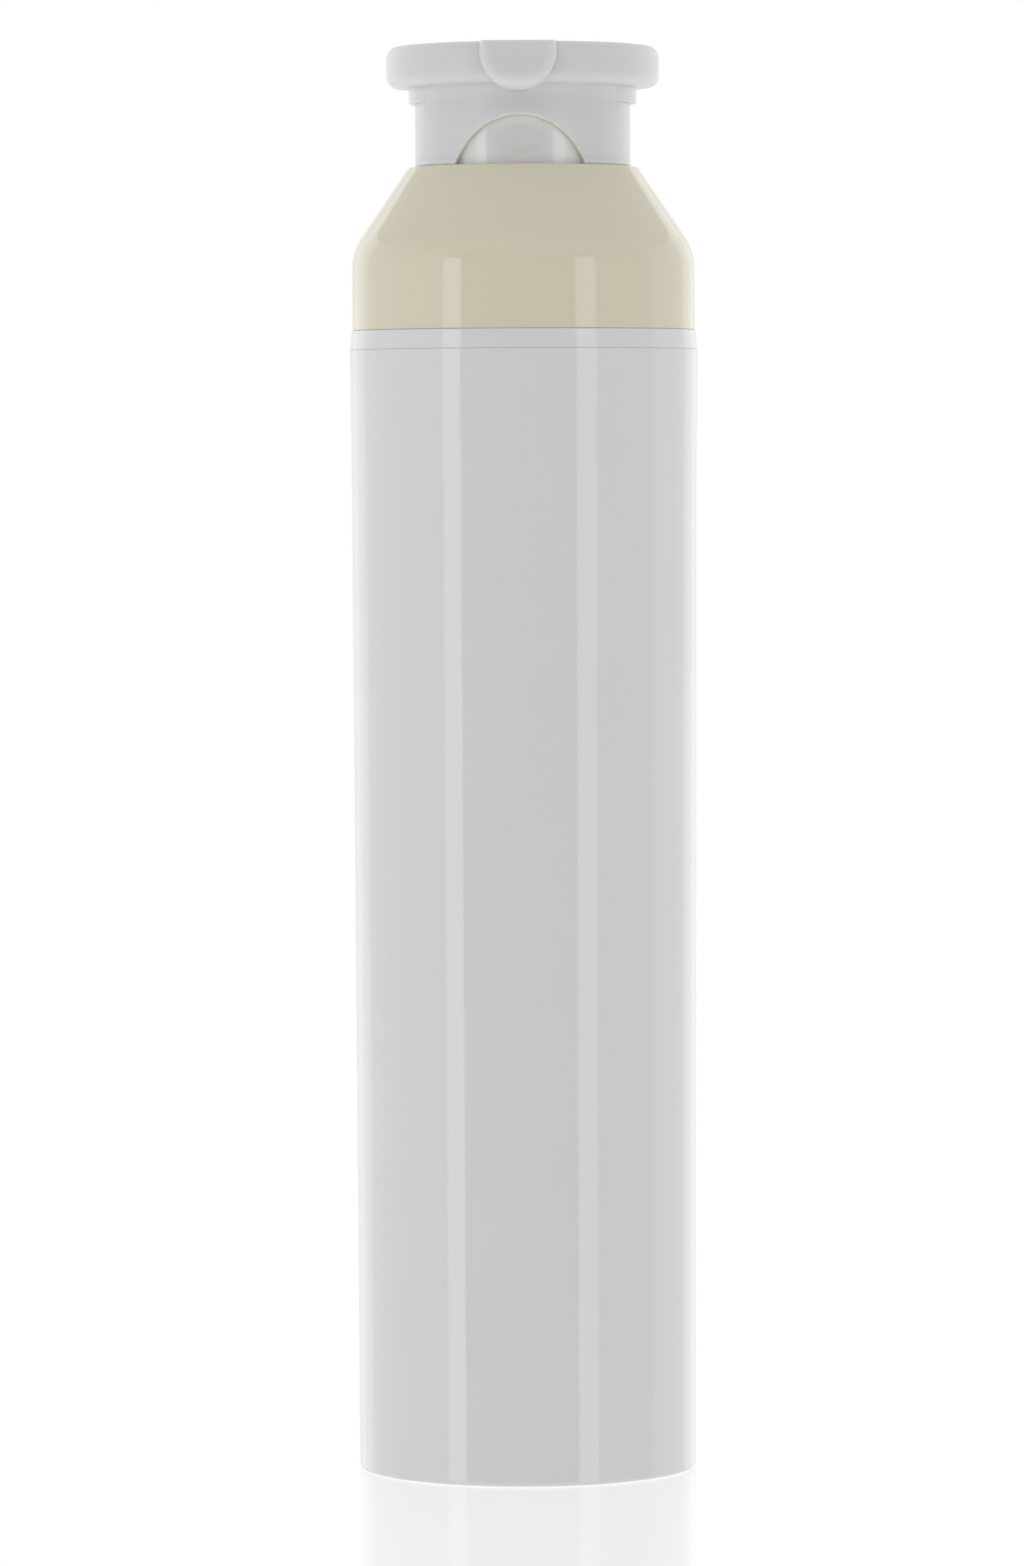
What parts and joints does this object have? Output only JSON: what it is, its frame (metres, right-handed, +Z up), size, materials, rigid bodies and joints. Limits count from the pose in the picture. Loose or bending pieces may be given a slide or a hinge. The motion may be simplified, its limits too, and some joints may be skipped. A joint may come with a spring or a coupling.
{
  "type": "airless pump bottle",
  "caption": "Slim round airless pump bottle: straight white tube with a rising follower piston, conical cream shoulder collar and a round finger-disc actuator with a short spout.",
  "frame": {"origin": "centre of the foot plane on the bottle's axis", "axes": "+Z up along the bottle's axis, -Y towards the spout's face, +X to the right when the spout faces the viewer"},
  "size_m": [0.04, 0.04, 0.1625],
  "materials": {
    "gloss_white": "glossy injection-moulded white",
    "satin_white": "fine satin white",
    "cream_gloss": "glossy cream",
    "core_white": "glossy white, lightly polished",
    "pump_white": "plain moulded white",
    "natural_plastic": "milky natural",
    "seal": "soft grey",
    "steel": "bright drawn steel"
  },
  "bodies": {
    "bottle": {"bottle_body": "gloss_white", "base_plug": "pump_white", "neck_gasket": "seal", "pump_closure": "gloss_white", "shoulder_collar": "cream_gloss", "pump_housing": "natural_plastic", "housing_gasket": "seal", "chaplet": "pump_white", "ball_cage": "pump_white", "return_spring": "steel"},
    "stem": {"stem": "pump_white", "stem_plug": "pump_white"},
    "head": {"actuator_core": "core_white", "actuator_shell": "satin_white", "nozzle_insert": "pump_white"},
    "piston": {"pump_piston": "natural_plastic"},
    "follower": {"follower_piston": "natural_plastic"},
    "ball": {"inlet_ball": "steel"}
  },
  "joints": [
    {"name": "press", "type": "slide", "parent": "bottle", "child": "stem", "axis": [0, 0, -1], "range_m": [0, 0.007], "stiffness_N_per_m": 1200, "springref_m": -0.003, "deforming": ["return_spring"]},
    {"name": "head_swivel", "type": "hinge", "parent": "stem", "child": "head", "pos_m": [0, 0, 0.152], "axis": [0, 0, 1], "continuous": true},
    {"name": "piston_lag", "type": "slide", "parent": "stem", "child": "piston", "axis": [0, 0, 1], "range_m": [0, 0.0008]},
    {"name": "follower_rise", "type": "slide", "parent": "bottle", "child": "follower", "axis": [0, 0, 1], "range_m": [0, 0.107]},
    {"name": "ball_lift", "type": "slide", "parent": "bottle", "child": "ball", "axis": [0, 0, 1], "range_m": [0, 0.001]}
  ]
}
